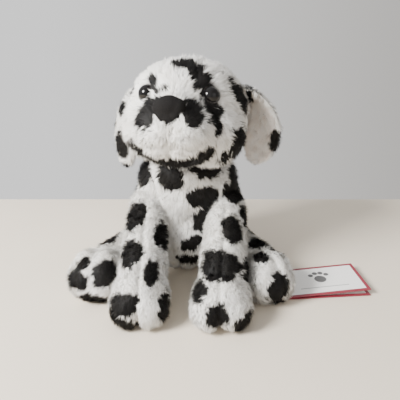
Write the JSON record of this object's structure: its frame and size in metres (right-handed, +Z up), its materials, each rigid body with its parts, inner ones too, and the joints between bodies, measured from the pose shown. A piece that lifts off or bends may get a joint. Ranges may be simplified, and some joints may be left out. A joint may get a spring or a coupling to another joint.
{
  "type": "plush dog",
  "caption": "Small seated spotted plush puppy with sewn fabric skins over stuffing, hanging ears, splayed legs, glossy eyes, a sewn label and a swing tag.",
  "frame": {"origin": "centre of the flat seat, on the surface the dog sits on", "axes": "+Z up, -Y is the way the dog faces, +X is the dog's own left side"},
  "size_m": [0.1993, 0.1621, 0.149],
  "materials": {
    "plush_fabric": "short plush pile, white with black spots",
    "ear_lining": "short pale plush",
    "stuffing": "loose fibre",
    "lining_cloth": "thin plain weave",
    "pellet": "small smooth pellets",
    "nose_cloth": "black velour",
    "eye_plastic": "polished black",
    "washer_plastic": "moulded",
    "thread": "twisted thread",
    "label_satin": "woven satin",
    "card": "smooth card with a dark red edge",
    "pin_plastic": "clear soft plastic"
  },
  "bodies": {
    "torso": {"chest_panel": "plush_fabric", "closing_stitches": "thread", "seat_panel": "plush_fabric", "seat_pellet_pouch": "lining_cloth", "seat_pellets": "pellet", "sewn_label": "label_satin", "torso_left_panel": "plush_fabric", "torso_right_panel": "plush_fabric", "torso_stuffing": "stuffing"},
    "neck_lower": {"neck_lower_seam_band": "plush_fabric"},
    "neck_upper": {"neck_upper_seam_band": "plush_fabric"},
    "head": {"eye_left": "eye_plastic", "eye_right": "eye_plastic", "eye_washer_left": "washer_plastic", "eye_washer_right": "washer_plastic", "head_chin_panel": "plush_fabric", "head_crown_panel": "plush_fabric", "head_left_panel": "plush_fabric", "head_right_panel": "plush_fabric", "head_stuffing": "stuffing", "mouth_seam_thread": "thread", "nose": "nose_cloth"},
    "ear_left": {"ear_left_lining_panel": "ear_lining", "ear_left_outer_panel": "plush_fabric"},
    "ear_right": {"ear_right_lining_panel": "ear_lining", "ear_right_outer_panel": "plush_fabric"},
    "foreleg_left": {"foreleg_left_inner_panel": "plush_fabric", "foreleg_left_outer_panel": "plush_fabric", "foreleg_left_pellet_pouch": "lining_cloth", "foreleg_left_pellets": "pellet", "foreleg_left_stuffing": "stuffing"},
    "foreleg_right": {"foreleg_right_inner_panel": "plush_fabric", "foreleg_right_outer_panel": "plush_fabric", "foreleg_right_pellet_pouch": "lining_cloth", "foreleg_right_pellets": "pellet", "foreleg_right_stuffing": "stuffing"},
    "hindleg_left": {"hindleg_left_inner_panel": "plush_fabric", "hindleg_left_outer_panel": "plush_fabric", "hindleg_left_pellet_pouch": "lining_cloth", "hindleg_left_pellets": "pellet", "hindleg_left_stuffing": "stuffing", "tag_pin_anchor": "pin_plastic"},
    "hindleg_right": {"hindleg_right_inner_panel": "plush_fabric", "hindleg_right_outer_panel": "plush_fabric", "hindleg_right_pellet_pouch": "lining_cloth", "hindleg_right_pellets": "pellet", "hindleg_right_stuffing": "stuffing"},
    "tail": {"tail_left_panel": "plush_fabric", "tail_right_panel": "plush_fabric", "tail_stuffing": "stuffing"},
    "tag": {"tag_back_leaf": "card", "tag_pin": "pin_plastic"},
    "tag_front": {"tag_front_leaf": "card"}
  },
  "joints": [
    {"name": "head_turn", "type": "hinge", "parent": "torso", "child": "neck_lower", "pos_m": [0, -0.007, 0.071], "axis": [0, 0, 1], "range_deg": [-45, 45], "stiffness_Nm_per_rad": 0.12},
    {"name": "head_nod", "type": "hinge", "parent": "neck_lower", "child": "neck_upper", "pos_m": [0, -0.007, 0.071], "axis": [1, 0, 0], "range_deg": [-12, 15], "stiffness_Nm_per_rad": 0.35},
    {"name": "head_tilt", "type": "hinge", "parent": "neck_upper", "child": "head", "pos_m": [0, -0.007, 0.071], "axis": [0, 1, 0], "range_deg": [-12, 12], "stiffness_Nm_per_rad": 0.35},
    {"name": "foreleg_left_swing", "type": "hinge", "parent": "torso", "child": "foreleg_left", "pos_m": [0.028, -0.018, 0.049], "axis": [-1, 0, 0], "range_deg": [0, 35], "stiffness_Nm_per_rad": 0.08},
    {"name": "foreleg_right_swing", "type": "hinge", "parent": "torso", "child": "foreleg_right", "pos_m": [-0.028, -0.018, 0.049], "axis": [-1, 0, 0], "range_deg": [0, 35], "stiffness_Nm_per_rad": 0.08},
    {"name": "hindleg_left_splay", "type": "hinge", "parent": "torso", "child": "hindleg_left", "pos_m": [0.029, 0.006, 0.017], "axis": [0, 0, 1], "range_deg": [0, 25], "stiffness_Nm_per_rad": 0.08},
    {"name": "hindleg_right_splay", "type": "hinge", "parent": "torso", "child": "hindleg_right", "pos_m": [-0.029, 0.006, 0.017], "axis": [0, 0, -1], "range_deg": [0, 25], "stiffness_Nm_per_rad": 0.08},
    {"name": "tail_wag", "type": "hinge", "parent": "torso", "child": "tail", "pos_m": [0, 0.035, 0.015], "axis": [0, 0, 1], "range_deg": [-30, 30], "stiffness_Nm_per_rad": 0.03},
    {"name": "ear_left_flap", "type": "hinge", "parent": "head", "child": "ear_left", "pos_m": [0.03036, -0.00858, 0.13464], "axis": [0.1421, -0.9763, 0.1632], "range_deg": [-5, 60], "stiffness_Nm_per_rad": 0.02},
    {"name": "ear_right_flap", "type": "hinge", "parent": "head", "child": "ear_right", "pos_m": [-0.02539, 0.00327, 0.13464], "axis": [0.0666, 0.9828, -0.172], "range_deg": [-5, 60], "stiffness_Nm_per_rad": 0.02},
    {"name": "tag_swing", "type": "hinge", "parent": "hindleg_left", "child": "tag", "pos_m": [0.04704, -0.01326, 0.007], "axis": [0, 0, 1], "range_deg": [0, 30]},
    {"name": "tag_open", "type": "hinge", "parent": "tag", "child": "tag_front", "pos_m": [0.0675, -0.0635, 0.00125], "axis": [0.0872, -0.9962, 0], "range_deg": [-3, 65], "stiffness_Nm_per_rad": 0.01}
  ]
}
